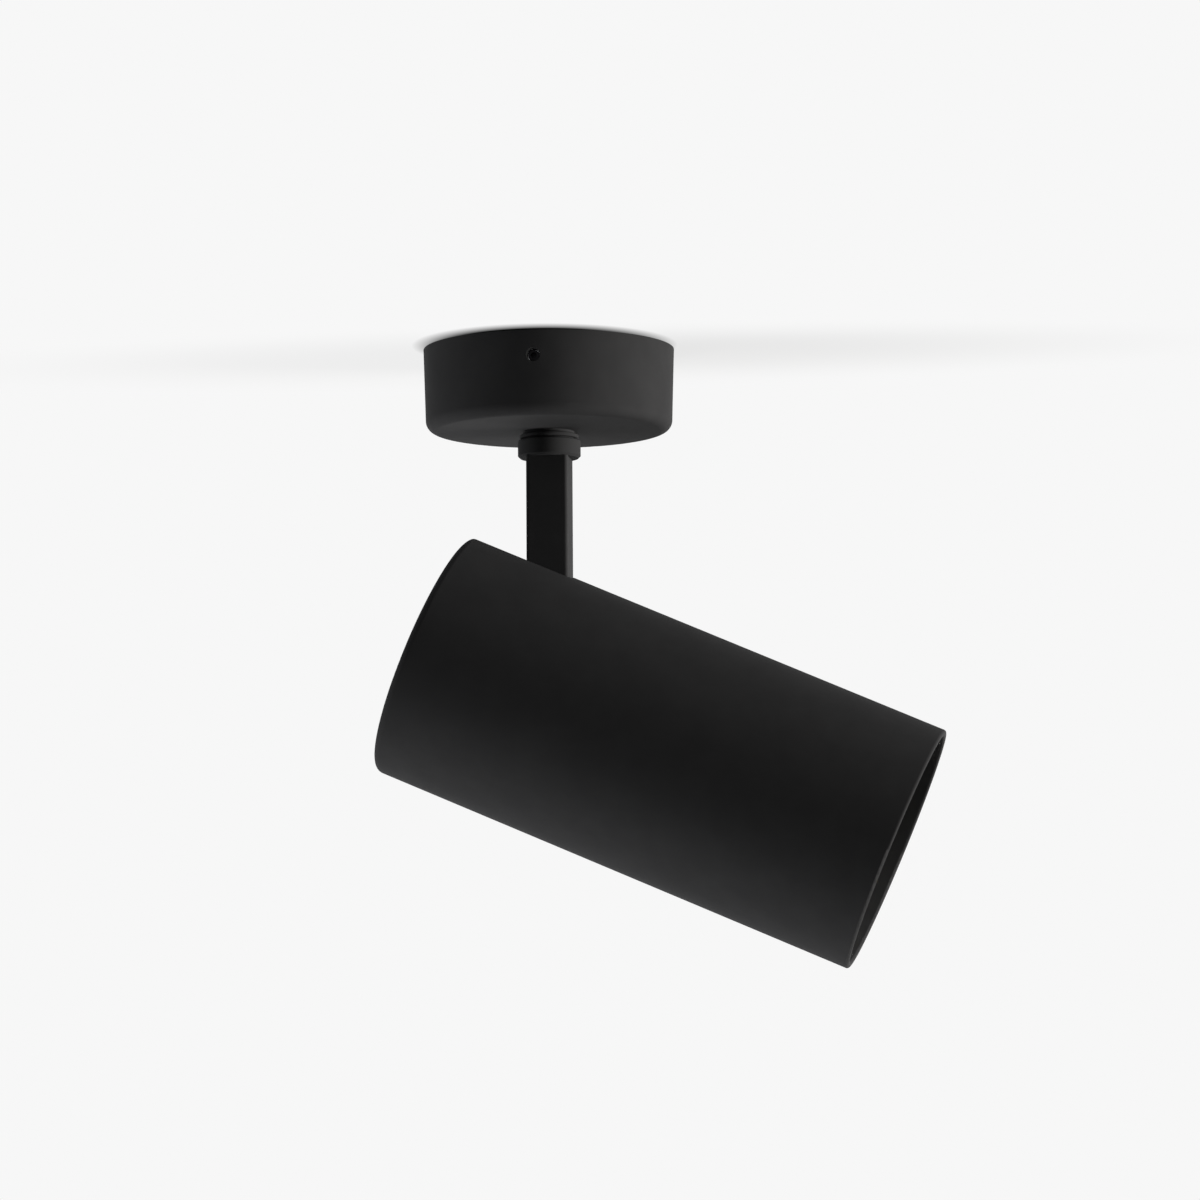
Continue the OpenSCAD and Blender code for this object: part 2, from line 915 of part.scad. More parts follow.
// Half of the yoke's bent sheet, seen from above, for y above zero
module yoke_strip() {
    foot_bend_x = back_inside + yoke_t + yoke_bend;
    front_bend_x = yoke_front - yoke_t - yoke_bend;
    translate([back_inside, yoke_in + yoke_t + yoke_bend])
        square([yoke_t, foot_reach - yoke_in - yoke_t - yoke_bend]);
    translate([foot_bend_x, yoke_in + yoke_t + yoke_bend])
        rotate(180)
            bend_arc();
    translate([foot_bend_x, yoke_in])
        square([front_bend_x - foot_bend_x, yoke_t]);
    translate([front_bend_x, yoke_in - yoke_bend])
        bend_arc();
    translate([yoke_front - yoke_t, 0])
        square([yoke_t, yoke_in - yoke_bend]);
}

module bend_arc() {
    intersection() {
        difference() {
            circle(r = yoke_bend + yoke_t);
            circle(r = yoke_bend);
        }
        square(yoke_bend + yoke_t);
    }
}

module hinge_yoke() {
    color(zinc)
        in_head()
            difference() {
                intersection() {
                    translate([0, 0, -yoke_half_h])
                        linear_extrude(height = 2 * yoke_half_h) {
                            yoke_strip();
                            mirror([0, 1])
                                yoke_strip();
                        }
                    rotate([90, 0, 0])
                        linear_extrude(height = 2 * foot_reach + over, center = true)
                            translate([(back_inside + yoke_front) / 2, 0])
                                rounded_square(yoke_front - back_inside, 2 * yoke_half_h, yoke_round);
                }
                along_y(-foot_reach)
                    cylinder(r = bolt_d / 2 + run_gap, h = 2 * foot_reach);
                translate([(back_inside - disc_d / 2) / 2, 0, 0])
                    rotate([90, 0, 0])
                        linear_extrude(height = 2 * foot_reach, center = true)
                            long_hole(light_slot_l, light_slot_w);
                for (side = [-1, 1])
                    translate([0, side * foot_hole_y, 0])
                        along_head(back_x)
                            cylinder(r = foot_screw_d / 2 + thread_gap, h = foot_screw_l + over);
                along_head(yoke_front - yoke_t - over) {
                    cylinder(r = lead_hole_r, h = yoke_t + 2 * over);
                    for (side = [-1, 1])
                        translate([side * holder_screw_z, 0, 0])
                            cylinder(r = holder_screw_d / 2 + thread_gap, h = yoke_t + 2 * over);
                }
            }
}

module yoke_screws() {
    color(black_oxide)
        in_head()
            for (side = [-1, 1])
                translate([0, side * foot_hole_y, 0])
                    along_head(back_x)
                        difference() {
                            union() {
                                countersink(foot_head_d);
                                cylinder(d = foot_screw_d, h = foot_screw_l);
                            }
                            cross_drive(foot_head_d, 2 * foot_drive_depth);
                        }
}

module tilt_bolt() {
    bolt_end = bolt_seat_y + bolt_nut_h + bolt_collar_h + bolt_proud;
    color(zinc)
        in_head()
            difference() {
                union() {
                    along_y(-bolt_seat_y)
                        cylinder(d = bolt_d, h = bolt_seat_y + bolt_end);
                    along_y(-bolt_seat_y - bolt_head_h)
                        rotate_extrude()
                            intersection() {
                                translate([0, bolt_head_h])
                                    rounded_square(bolt_head_d, 2 * bolt_head_h, bolt_head_round);
                                square([bolt_head_d, bolt_head_h]);
                            }
                }
                along_y(-bolt_seat_y - bolt_head_h - over)
                    cylinder(d = bolt_socket / cos(30), h = bolt_socket_depth + over, $fn = 6);
            }
}

module tilt_nut() {
    color(zinc)
        in_head()
            along_y(bolt_seat_y) {
                hex_nut(bolt_nut_af, bolt_nut_h, bolt_d / 2 + thread_gap);
                translate([0, 0, bolt_nut_h])
                    ring(bolt_nut_af / 2 - bolt_proud / 2, bolt_d / 2 + thread_gap, bolt_collar_h);
            }
}

module tilt_washers() {
    color(zinc)
        in_head()
            for (y = [-bolt_seat_y, bolt_flat_y])
                along_y(y)
                    ring(flat_d / 2, bolt_d / 2 + seat_gap, flat_t);
}

module friction_discs() {
    color(fibre)
        in_head()
            for (y = [-yoke_in, yoke_in - disc_t])
                along_y(y)
                    ring(disc_d / 2, bolt_d / 2 + seat_gap, disc_t);
}

// Point of the head frame, seen in the row frame at rest
function head_point(x, y, z) = [
    x * cos(tilt_least) + z * sin(tilt_least),
    y,
    -x * sin(tilt_least) + z * cos(tilt_least) - pivot_drop
];

module tilt_leads() {
    color(brown)
        for (side = [-1, 1])
            lead([
                [0, side * bundle_r, -cable_foot - thread_gap],
                [0, side * bundle_r, -cable_foot - cable_r],
                head_point(yoke_front - yoke_t - lead_d - cable_r, side * bundle_r, 0),
                head_point(yoke_front + holder_recess_depth - tail_out - seat_gap,
                    side * (holder_recess_r - lead_d / 2 - seat_gap), 0)
            ], lead_d, [0, 1, 0]);
}

module lampholder() {
    color("white")
        in_head()
            difference() {
                along_head(yoke_front)
                    linear_extrude(height = holder_h)
                        intersection() {
                            circle(r = holder_r);
                            rounded_square(2 * holder_r, holder_w, holder_round);
                        }
                along_head(yoke_front - over)
                    cylinder(r = holder_recess_r, h = holder_recess_depth + over);
                along_head(0)
                    for (side = [-1, 1])
                        translate([side * holder_screw_z, 0, 0]) {
                            cylinder(r = holder_screw_d / 2 + seat_gap, h = holder_face + over);
                            translate([0, 0, holder_face - holder_counter_depth])
                                cylinder(r = holder_counter_r, h = holder_counter_depth + over);
                        }
                along_head(holder_face)
                    for (i = [0, 1])
                        rotate([0, 0, 180 * i])
                            bayonet_pocket();
                along_head(yoke_front)
                    for (side = [-1, 1])
                        translate([0, side * tail_at, 0])
                            cylinder(r = tail_r + seat_gap, h = holder_h - pocket_depth + over);
            }
}

// Keyhole pocket for one pin: narrow at the lip, wide behind it, open at the far end of the turn
module bayonet_pocket() {
    rotate([0, 0, 90]) {
        translate([0, 0, -pocket_depth])
            arc_groove(pin_head_d / 2 + pin_play, pocket_depth - pocket_lip);
        translate([0, 0, -pocket_lip - over])
            arc_groove(pin_d / 2 + pin_play, pocket_lip + 2 * over);
        rotate([0, 0, lamp_turn])
            translate([pin_pitch / 2, 0, -pocket_depth])
                cylinder(r = pin_head_d / 2 + pin_play, h = pocket_depth + over);
    }
}

// Groove with round ends that follows a pin through its turn
module arc_groove(half_w, depth) {
    rotate_extrude(angle = lamp_turn)
        translate([pin_pitch / 2 - half_w, 0])
            square([2 * half_w, depth]);
    for (turn = [0, lamp_turn])
        rotate([0, 0, turn])
            translate([pin_pitch / 2, 0, 0])
                cylinder(r = half_w, h = depth);
}

module lampholder_contacts() {
    color(brass)
        in_head()
            along_head(holder_face - pocket_depth)
                for (i = [0, 1])
                    rotate([0, 0, 90 + 180 * i]) {
                        rotate_extrude(angle = lamp_turn)
                            translate([(pin_pitch - blade_w) / 2, 0])
                                square([blade_w, blade_t]);
                        translate([tail_at, 0, blade_t - tail_l])
                            cylinder(r = tail_r, h = tail_l);
                    }
}

module lampholder_screws() {
    color(zinc)
        in_head()
            along_head(holder_face - holder_counter_depth)
                for (side = [-1, 1])
                    translate([side * holder_screw_z, 0, 0])
                        rotate([180, 0, 0])
                            pan_screw(holder_screw_d, holder_screw_l, holder_head_d, holder_head_h);
}

module glare_ring() {
    ring_r = bore_r - ring_gap;
    lip_r = lamp_d / 2 - lens_edge;
    color(paint)
        in_head()
            along_head(lamp_face + ring_lip_gap)
                rotate_extrude()
                    polygon([
                        [lip_r, 0],
                        [lip_r + ring_wall / 2, 0],
                        [ring_r - ring_wall, ring_lip_rise],
                        [ring_r - ring_wall, 0],
                        [ring_r, 0],
                        [ring_r, ring_l],
                        [ring_r - ring_wall, ring_l],
                        [ring_r - ring_wall, ring_lip_rise + ring_wall],
                        [lip_r, ring_wall / 2]
                    ]);
}

// Replaceable lamp
module lamp_body() {
    lamp_r = lamp_d / 2;
    fin_top = lamp_l - lamp_rim_h;
    flare = atan((lamp_r - lamp_neck_r) / (fin_top - lamp_base_h));
    fin_l = (fin_top - lamp_base_h - fin_depth) / cos(flare);
    color("#d8d8d8")
        in_head()
            along_head(lamp_seat)
                difference() {
                    rotate_extrude()
                        lamp_outline(lamp_r, fin_top);
                    for (i = [0 : fins - 1])
                        rotate([0, 0, 360 * i / fins])
                            translate([lamp_neck_r - fin_depth, 0, lamp_base_h])
                                rotate([0, flare, 0])
                                    translate([0, -fin_slot_w / 2, 0])
                                        cube([lamp_r, fin_slot_w, fin_l]);
                    translate([0, 0, lamp_l - lens_t])
                        cylinder(r = lamp_r - lens_edge, h = lens_t + over);
                    for (side = [-1, 1])
                        translate([0, side * pin_pitch / 2, -over])
                            cylinder(r = pin_d / 2 + thread_gap, h = lamp_base_h / 2 + over);
                }
}

module lamp_outline(rim_r, fin_top) {
    square([lamp_base_r, lamp_base_h]);
    polygon([
        [0, lamp_base_h],
        [lamp_neck_r, lamp_base_h],
        [rim_r - lamp_step, fin_top],
        [rim_r, fin_top + lamp_step],
        [rim_r, lamp_l - lamp_round],
        [0, lamp_l - lamp_round]
    ]);
    translate([0, lamp_l - 2 * lamp_round])
        square([rim_r - lamp_round, 2 * lamp_round]);
    translate([rim_r - lamp_round, lamp_l - lamp_round])
        circle(r = lamp_round);
}

module lamp_pins() {
    color(zinc)
        in_head()
            along_head(lamp_seat)
                for (side = [-1, 1])
                    translate([0, side * pin_pitch / 2, -pin_l]) {
                        cylinder(d = pin_head_d, h = pin_head_h);
                        cylinder(d = pin_d, h = pin_l + lamp_base_h / 2);
                    }
}

module lamp_lens() {
    lens_r = lamp_d / 2 - lens_edge - seat_gap;
    color("#f2f0e6")
        in_head()
            along_head(lamp_face - lens_t)
                rotate_extrude()
                    polygon([
                        [0, 0],
                        [lens_r, 0],
                        [lens_r, lens_t - lens_dome / 2],
                        [lens_r - lens_dome, lens_t],
                        [lens_r * lens_brim_share, lens_t],
                        [lens_r * lens_well_share, lens_t - lens_dome],
                        [0, lens_t - lens_dome]
                    ]);
}

ceiling_bracket();
rose_cover();
rose_set_screws();
terminal_block();
terminal_clamps();
terminal_screws();
block_screws();
earth_screw();
earth_lug();
earth_lead();
rose_leads();
pan_bush();
friction_washer();
stop_pin();
swivel_collar();
hollow_nipple();
stop_washer();
spring_washer();
swivel_nut();
arm_bar();
arm_sleeve();
arm_cable();
head_tube();
hinge_yoke();
yoke_screws();
tilt_bolt();
tilt_nut();
tilt_washers();
friction_discs();
tilt_leads();
lampholder();
lampholder_contacts();
lampholder_screws();
glare_ring();
lamp_body();
lamp_pins();
lamp_lens();
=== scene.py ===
"""Surface mounted ceiling spotlight: finishes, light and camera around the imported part."""

import json
import math

import bmesh
import bpy
from mathutils import Matrix, Vector


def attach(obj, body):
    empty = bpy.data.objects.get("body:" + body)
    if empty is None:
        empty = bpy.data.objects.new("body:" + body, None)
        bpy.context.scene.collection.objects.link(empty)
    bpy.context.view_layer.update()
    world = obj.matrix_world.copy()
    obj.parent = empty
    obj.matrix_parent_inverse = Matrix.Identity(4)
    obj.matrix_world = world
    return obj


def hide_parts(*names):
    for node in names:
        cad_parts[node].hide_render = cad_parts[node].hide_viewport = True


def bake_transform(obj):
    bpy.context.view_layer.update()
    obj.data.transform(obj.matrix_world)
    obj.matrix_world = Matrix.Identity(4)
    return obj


MM = 0.001

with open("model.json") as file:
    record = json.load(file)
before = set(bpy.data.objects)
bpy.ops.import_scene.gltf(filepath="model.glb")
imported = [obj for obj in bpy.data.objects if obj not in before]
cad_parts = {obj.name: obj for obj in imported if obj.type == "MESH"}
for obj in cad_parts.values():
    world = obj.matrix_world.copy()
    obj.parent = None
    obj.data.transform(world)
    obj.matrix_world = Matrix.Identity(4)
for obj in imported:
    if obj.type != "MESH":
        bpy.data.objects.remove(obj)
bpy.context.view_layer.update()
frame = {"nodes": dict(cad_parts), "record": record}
nodes = frame["nodes"]

# Camera, in the photograph's own frame of 1200 x 1200 pixels
IMAGE_PX = 1200
FOCAL_PX = 4333
SENSOR_MM = 36
CAMERA_AT = Vector((145.2, -1187.55, -201.0)) * MM
CAMERA_YAW = math.radians(6.307)
CAMERA_PITCH = math.radians(6.237)
CAMERA_ROLL = math.radians(-0.377)
CAMERA_NEAR = 10 * MM
CAMERA_FAR = 100


def add_camera():
    ahead = Vector((
        -math.sin(CAMERA_YAW) * math.cos(CAMERA_PITCH),
        math.cos(CAMERA_YAW) * math.cos(CAMERA_PITCH),
        math.sin(CAMERA_PITCH),
    ))
    level = Vector((math.cos(CAMERA_YAW), math.sin(CAMERA_YAW), 0))
    above = level.cross(ahead)
    right = math.cos(CAMERA_ROLL) * level + math.sin(CAMERA_ROLL) * above
    up = math.cos(CAMERA_ROLL) * above - math.sin(CAMERA_ROLL) * level
    data = bpy.data.cameras.new("camera")
    data.sensor_width = SENSOR_MM
    data.lens = FOCAL_PX / IMAGE_PX * SENSOR_MM
    data.clip_start = CAMERA_NEAR
    data.clip_end = CAMERA_FAR
    camera = bpy.data.objects.new("camera", data)
    turn = Matrix((right, up, -ahead)).transposed().to_4x4()
    camera.matrix_world = Matrix.Translation(CAMERA_AT) @ turn
    bpy.context.scene.collection.objects.link(camera)
    bpy.context.scene.camera = camera


def set_range(node, *limits):
    """Limits of a Map Range node: from, to, then what these become."""
    for key, number in zip(("From Min", "From Max", "To Min", "To Max"), limits):
        node.inputs[key].default_value = number


# Noise keeps mostly between these values
NOISE_LOW, NOISE_HIGH = 0.3, 0.7
NOISE_ROUGHNESS = 0.55


class Shader:
    """A node material with one Principled shader, and short ways to add what varies over it."""

    def __init__(self, name, color, roughness, metallic=0.0, specular=0.5):
        self.material = bpy.data.materials.new(name)
        self.material.use_nodes = True
        self.tree = self.material.node_tree
        self.shader = self.tree.nodes["Principled BSDF"]
        self.shader.inputs["Base Color"].default_value = (*color, 1)
        self.shader.inputs["Roughness"].default_value = roughness
        self.shader.inputs["Metallic"].default_value = metallic
        self.shader.inputs["Specular IOR Level"].default_value = specular
        self.place = self.add("ShaderNodeTexCoord").outputs["Object"]
        self.height = None

    def add(self, kind, **settings):
        node = self.tree.nodes.new(kind)
        for key, value in settings.items():
            setattr(node, key, value)
        return node

    def join(self, source, target):
        self.tree.links.new(source, target)

    def stretched(self, stretch):
        mapping = self.add("ShaderNodeMapping")
        mapping.inputs["Scale"].default_value = stretch
        self.join(self.place, mapping.inputs["Vector"])
        return mapping.outputs["Vector"]

    def noise(self, size, detail=3.0, stretch=None):
        """Noise whose grains are about size metres across."""
        node = self.add("ShaderNodeTexNoise")
        node.inputs["Scale"].default_value = 1 / size
        node.inputs["Detail"].default_value = detail
        node.inputs["Roughness"].default_value = NOISE_ROUGHNESS
        self.join(self.stretched(stretch) if stretch else self.place, node.inputs["Vector"])
        return node.outputs["Fac"]

    def cells(self, size):
        """Distance to the nearest of scattered points about size metres apart."""
        node = self.add("ShaderNodeTexVoronoi", feature="SMOOTH_F1")
        node.inputs["Scale"].default_value = 1 / size
        self.join(self.place, node.inputs["Vector"])
        return node.outputs["Distance"]

    def between(self, value, low, high):
        """Spreads a noise over low..high."""
        node = self.add("ShaderNodeMapRange")
        set_range(node, NOISE_LOW, NOISE_HIGH, low, high)
        self.join(value, node.inputs["Value"])
        return node.outputs["Result"]

    def vary_roughness(self, value, low, high):
        self.join(self.between(value, low, high), self.shader.inputs["Roughness"])

    def vary_color(self, value, low, high):
        node = self.add("ShaderNodeMix", data_type="RGBA")
        colors = [s for s in node.inputs if s.type == "RGBA"]
        colors[0].default_value = (*low, 1)
        colors[1].default_value = (*high, 1)
        self.join(self.between(value, 0, 1), node.inputs["Factor"])
        result = [s for s in node.outputs if s.type == "RGBA"][0]
        self.join(result, self.shader.inputs["Base Color"])

    def bump(self, value, depth):
        """Adds relief of depth metres over any relief so far."""
        node = self.add("ShaderNodeBump")
        node.inputs["Distance"].default_value = depth
        node.inputs["Strength"].default_value = 1
        self.join(value, node.inputs["Height"])
        if self.height:
            self.join(self.height, node.inputs["Normal"])
        self.height = node.outputs["Normal"]
        self.join(self.height, self.shader.inputs["Normal"])


def powder_coat():
    s = Shader("powder_coat", (0.040, 0.040, 0.041), roughness=0.8, specular=0.05)
    fine = s.noise(0.22 * MM)
    s.vary_color(s.noise(9 * MM, detail=2), (0.0375, 0.0375, 0.0385), (0.0425, 0.0425, 0.0435))
    s.vary_roughness(fine, low=0.74, high=0.86)
    s.bump(fine, depth=0.006 * MM)
    s.bump(s.noise(1.1 * MM, detail=1), depth=0.006 * MM)
    return s.material


def zinc_plate():
    s = Shader("zinc_plate", (0.58, 0.59, 0.61), roughness=0.34, metallic=1)
    s.vary_color(s.noise(3 * MM), (0.50, 0.51, 0.54), (0.64, 0.65, 0.66))
    s.vary_roughness(s.noise(0.8 * MM), low=0.26, high=0.42)
    s.bump(s.noise(0.25 * MM, stretch=(1, 1, 6)), depth=0.004 * MM)
    return s.material


def black_oxide():
    # Base colour darker than plain black oxide, so that the set screw's hole reads dark: partly the
    # screws' own colour, partly painted shade
    s = Shader("black_oxide", (0.006, 0.006, 0.007), roughness=0.5, metallic=1)
    s.vary_color(s.noise(1.5 * MM), (0.0045, 0.0045, 0.005), (0.008, 0.0075, 0.0085))
    s.vary_roughness(s.noise(0.3 * MM), low=0.38, high=0.55)
    s.bump(s.noise(0.15 * MM), depth=0.004 * MM)
    return s.material


def plain_brass():
    s = Shader("plain_brass", (0.70, 0.50, 0.22), roughness=0.3, metallic=1)
    s.vary_color(s.noise(2 * MM), (0.60, 0.41, 0.17), (0.76, 0.57, 0.28))
    s.vary_roughness(s.noise(0.5 * MM), low=0.22, high=0.4)
    s.bump(s.noise(0.2 * MM), depth=0.004 * MM)
    return s.material


def moulded(name, color, dark, roughness=0.42, grain=0.4 * MM):
    """Moulded plastic, or any other smooth coloured skin."""
    s = Shader(name, color, roughness)
    s.vary_color(s.noise(5 * MM), dark, color)
    s.vary_roughness(s.noise(grain), low=roughness - 0.06, high=roughness + 0.08)
    s.bump(s.noise(grain), depth=0.010 * MM)
    return s.material


def pressed_fibre():
    s = Shader("pressed_fibre", (0.20, 0.08, 0.05), roughness=0.7)
    s.vary_color(s.noise(0.9 * MM, stretch=(1, 1, 5)), (0.13, 0.05, 0.03), (0.27, 0.12, 0.07))
    s.vary_roughness(s.noise(0.4 * MM), low=0.6, high=0.82)
    s.bump(s.noise(0.3 * MM, stretch=(1, 1, 5)), depth=0.03 * MM)
    return s.material


def ceramic():
    s = Shader("steatite", (0.84, 0.82, 0.77), roughness=0.55)
    s.vary_color(s.noise(0.7 * MM), (0.78, 0.75, 0.69), (0.87, 0.85, 0.81))
    s.vary_roughness(s.noise(0.5 * MM), low=0.46, high=0.66)
    s.bump(s.cells(0.6 * MM), depth=0.02 * MM)
    return s.material


def clear_lens():
    s = Shader("clear_lens", (0.93, 0.93, 0.90), roughness=0.12)
    s.shader.inputs["Transmission Weight"].default_value = 0.55
    s.shader.inputs["IOR"].default_value = 1.49
    s.vary_roughness(s.noise(1.2 * MM), low=0.08, high=0.2)
    s.bump(s.cells(2.4 * MM), depth=0.06 * MM)
    return s.material


# The record's material slots, and three finishes that only pieces below have
MATERIALS = {
    "black_paint": powder_coat(),
    "plated_steel": zinc_plate(),
    "black_oxide": black_oxide(),
    "brass": plain_brass(),
    "ivory_plastic": moulded("ivory_plastic", (0.78, 0.74, 0.64), (0.70, 0.66, 0.55)),
    "fibre": pressed_fibre(),
    "white_sheath": moulded("white_sheath", (0.76, 0.74, 0.68), (0.66, 0.64, 0.57), 0.55),
    "brown_insulation": moulded("brown_insulation", (0.11, 0.045, 0.02), (0.08, 0.03, 0.013), 0.4),
    "earth_insulation": moulded("earth_insulation", (0.06, 0.30, 0.05), (0.04, 0.24, 0.04), 0.4),
    "white_ceramic": ceramic(),
    "grey_housing": moulded("grey_housing", (0.60, 0.60, 0.59), (0.52, 0.52, 0.51), 0.38),
    "clear_lens": clear_lens(),
}
EARTH_YELLOW = moulded("earth_yellow", (0.74, 0.56, 0.03), (0.66, 0.49, 0.02), 0.4)
WHITE_BOARD = moulded("white_board", (0.80, 0.81, 0.80), (0.74, 0.75, 0.74), 0.35)
PHOSPHOR = moulded("phosphor", (0.82, 0.60, 0.10), (0.74, 0.52, 0.08), 0.5)


def dress_nodes():
    """Gives each node of the frame the material of its slot."""
    for part in frame["record"]["subparts"]:
        mesh = nodes[part["node"]].data
        mesh.materials.clear()
        mesh.materials.append(MATERIALS[part["material_slot"]])


# Sizes and places of the frame that the pieces below repeat, in millimetres, under the source's names
PIVOT_DROP = 99.6
TILT_LEAST = math.radians(23.3)
LEAD_D = 1.8
NIPPLE_R, NIPPLE_BORE_R, NIPPLE_FLAT = 5.0, 3.5, 4.4
NIPPLE_TOP, NIPPLE_FOOT, NIPPLE_CHAMFER = 14.25, 28.45, 0.5
CABLE_TOP, CABLE_FOOT = 14.55, 86.6
LENS_R, LENS_T, LENS_FOOT = 22.3, 2.2, 78.8
SMOOTH_LIMIT = math.radians(35)


def at(x, y, z):
    return Vector((x, y, z)) * MM


def in_head(x, y, z):
    """Point at x along, y across and z above the axis of the head, from the tilt pivot, in millimetres."""
    c, s = math.cos(TILT_LEAST), math.sin(TILT_LEAST)
    return at(x * c + z * s, y, z * c - x * s - PIVOT_DROP)


def add_piece(name, points, faces, finish, body, replaced=(), patches=None):
    """Mesh piece riding on a body, with one finish, or several that patches gives face by face."""
    mesh = bpy.data.meshes.new(name)
    mesh.from_pydata([tuple(p) for p in points], [], faces)
    for material in finish:
        mesh.materials.append(material)
    if patches:
        mesh.polygons.foreach_set("material_index", patches)
    work = bmesh.new()
    work.from_mesh(mesh)
    bmesh.ops.recalc_face_normals(work, faces=work.faces)
    for face in work.faces:
        face.smooth = True
    for edge in work.edges:
        if len(edge.link_faces) == 2 and edge.calc_face_angle() > SMOOTH_LIMIT:
            edge.smooth = False
    work.to_mesh(mesh)
    work.free()
    piece = bpy.data.objects.new(name, mesh)
    bpy.context.scene.collection.objects.link(piece)
    if replaced:
        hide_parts(*replaced)
    if body:
        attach(piece, body)
    return piece


def grid_faces(rows, columns):
    """Quads of a grid that closes round on its columns."""
    return [
        (r * columns + c, r * columns + (c + 1) % columns,
         (r + 1) * columns + (c + 1) % columns, (r + 1) * columns + c)
        for r in range(rows - 1)
        for c in range(columns)
    ]


def capped_faces(rows, columns):
    """The same grid with a cap on its first and its last row."""
    last = (rows - 1) * columns
    caps = [tuple(range(columns)), tuple(last + c for c in range(columns))]
    return grid_faces(rows, columns) + caps


# Leads: tubes on the routes that the source gives them, in millimetres
LEAD_STEPS = 56
LEAD_SIDES = 24
LEAD_EDGE = 0.12
LEAD_EDGE_SHARE = 0.004
LEAD_STATIONS = [
    0, LEAD_EDGE_SHARE, *(i / LEAD_STEPS for i in range(1, LEAD_STEPS)), 1 - LEAD_EDGE_SHARE, 1,
]
PARALLEL_LIMIT = 0.01
STRIPE_TURNS = 1.5
STRIPE_SHARE = 0.35
BUNDLE_R = 1.2
CLAMP_FACE, CLAMP_LEVEL = 15.01, -6
CLAMP_PULL, BUNDLE_PULL_LEVEL = 3.01, -4.2
LUG_X, LUG_Y, LUG_LEVEL, LUG_PULL_X = 9.25, -18, -3.1, 21.25
ROSE_LEADS = (  # name, place of its pole, turn in the bundle in degrees, node that it replaces
    ("rose_lead_live", -8, 150, ("rose_leads",)),
    ("rose_lead_neutral", 0, 30, ()),
)
EARTH_TURN = 270
TILT_LEADS = (("tilt_lead_left", 1, ("tilt_leads",)), ("tilt_lead_right", -1, ()))
INSIDE_CABLE, BELOW_CABLE = 0.1, 2.5
HOLDER_X, HOLDER_Y, HOLDER_PULL_X = 17.9, 3.2, 7.7


def bezier(p, t):
    u = 1 - t
    return u ** 3 * p[0] + 3 * u * u * t * p[1] + 3 * u * t * t * p[2] + t ** 3 * p[3]


def tube(route, radius, edge):
    """Rings of a round tube along a cubic route, closed by a small rounded edge at each end."""
    last = len(LEAD_STATIONS) - 1
    centres = [bezier(route, t) for t in LEAD_STATIONS]
    normal = Vector((0, 1, 0))
    points = []
    for i, centre in enumerate(centres):
        along = (centres[min(i + 1, last)] - centres[max(i - 1, 0)]).normalized()
        normal -= normal.dot(along) * along
        normal = (normal if normal.length > PARALLEL_LIMIT else along.orthogonal()).normalized()
        across = along.cross(normal)
        r = radius - edge if i in (0, last) else radius
        for k in range(LEAD_SIDES):
            turn = math.tau * k / LEAD_SIDES
            points.append(centre + r * (math.cos(turn) * normal + math.sin(turn) * across))
    return points, capped_faces(len(centres), LEAD_SIDES)


def in_bundle(turn, z):
    """Place of a core in the bundle that enters the hollow nipple, at a turn in degrees and a height."""
    a = math.radians(turn)
    return at(BUNDLE_R * math.cos(a), BUNDLE_R * math.sin(a), z)


def earth_stripes():
    """For each face of a lead: 1 on two yellow stripes that wind along it, else 0."""
    stripes = []
    for station in LEAD_STATIONS[:-1]:
        for k in range(LEAD_SIDES):
            phase = (k / LEAD_SIDES + STRIPE_TURNS * station) % 0.5
            stripes.append(1 if phase < STRIPE_SHARE / 2 else 0)
    return stripes + [0, 0]


def add_leads():
    radius = LEAD_D / 2 * MM
    edge = LEAD_EDGE * MM
    brown = MATERIALS["brown_insulation"]
    for name, pole, turn, stands_for in ROSE_LEADS:
        route = [
            at(pole, CLAMP_FACE, CLAMP_LEVEL),
            at(pole, CLAMP_PULL, CLAMP_LEVEL),
            in_bundle(turn, BUNDLE_PULL_LEVEL),
            in_bundle(turn, -CABLE_TOP),
        ]
        points, faces = tube(route, radius, edge)
        add_piece(name, points, faces, [brown], "rose", stands_for)
    route = [
        at(LUG_X, LUG_Y, LUG_LEVEL),
        at(LUG_PULL_X, LUG_Y, LUG_LEVEL),
        in_bundle(EARTH_TURN, 0),
        in_bundle(EARTH_TURN, -CABLE_TOP),
    ]
    points, faces = tube(route, radius, edge)
    add_piece(
        "earth_lead_striped", points, faces, [MATERIALS["earth_insulation"], EARTH_YELLOW],
        "rose", ("earth_lead",), earth_stripes(),
    )
    for name, side, stands_for in TILT_LEADS:
        start = at(0, side * BUNDLE_R, -CABLE_FOOT + INSIDE_CABLE)
        end = in_head(HOLDER_X, side * HOLDER_Y, 0)
        route = [
            start,
            at(0, side * BUNDLE_R, -CABLE_FOOT - BELOW_CABLE),
            in_head(HOLDER_PULL_X, side * BUNDLE_R, 0),
            end,
        ]
        points, faces = tube(route, radius, edge)
        lead = add_piece(name, points, faces, [brown], None, stands_for)
        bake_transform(lead)


# Hollow nipple with its thread and flat
THREAD_PITCH = 1.0
THREAD_DEPTH = 0.6
THREAD_ROWS = 10
THREAD_SIDES = 60
THREAD_STEEPNESS = 1.15
THREAD_CREST = 0.07
FLAT_REACH = 0.1


def thread_radius(turn, z):
    """Radius of the threaded outside at an angle in turns and a drop z, flat towards -X."""
    wave = abs(((z / THREAD_PITCH - turn) % 1) * 2 - 1)
    r = NIPPLE_R - THREAD_DEPTH * min(max(THREAD_STEEPNESS * wave - THREAD_CREST, 0), 1)
    from_end = min(z - NIPPLE_TOP, NIPPLE_FOOT - z)
    r = min(r, NIPPLE_R - NIPPLE_CHAMFER + from_end)
    facing = -math.cos(math.tau * turn)
    return min(r, NIPPLE_FLAT / facing) if facing > FLAT_REACH else r


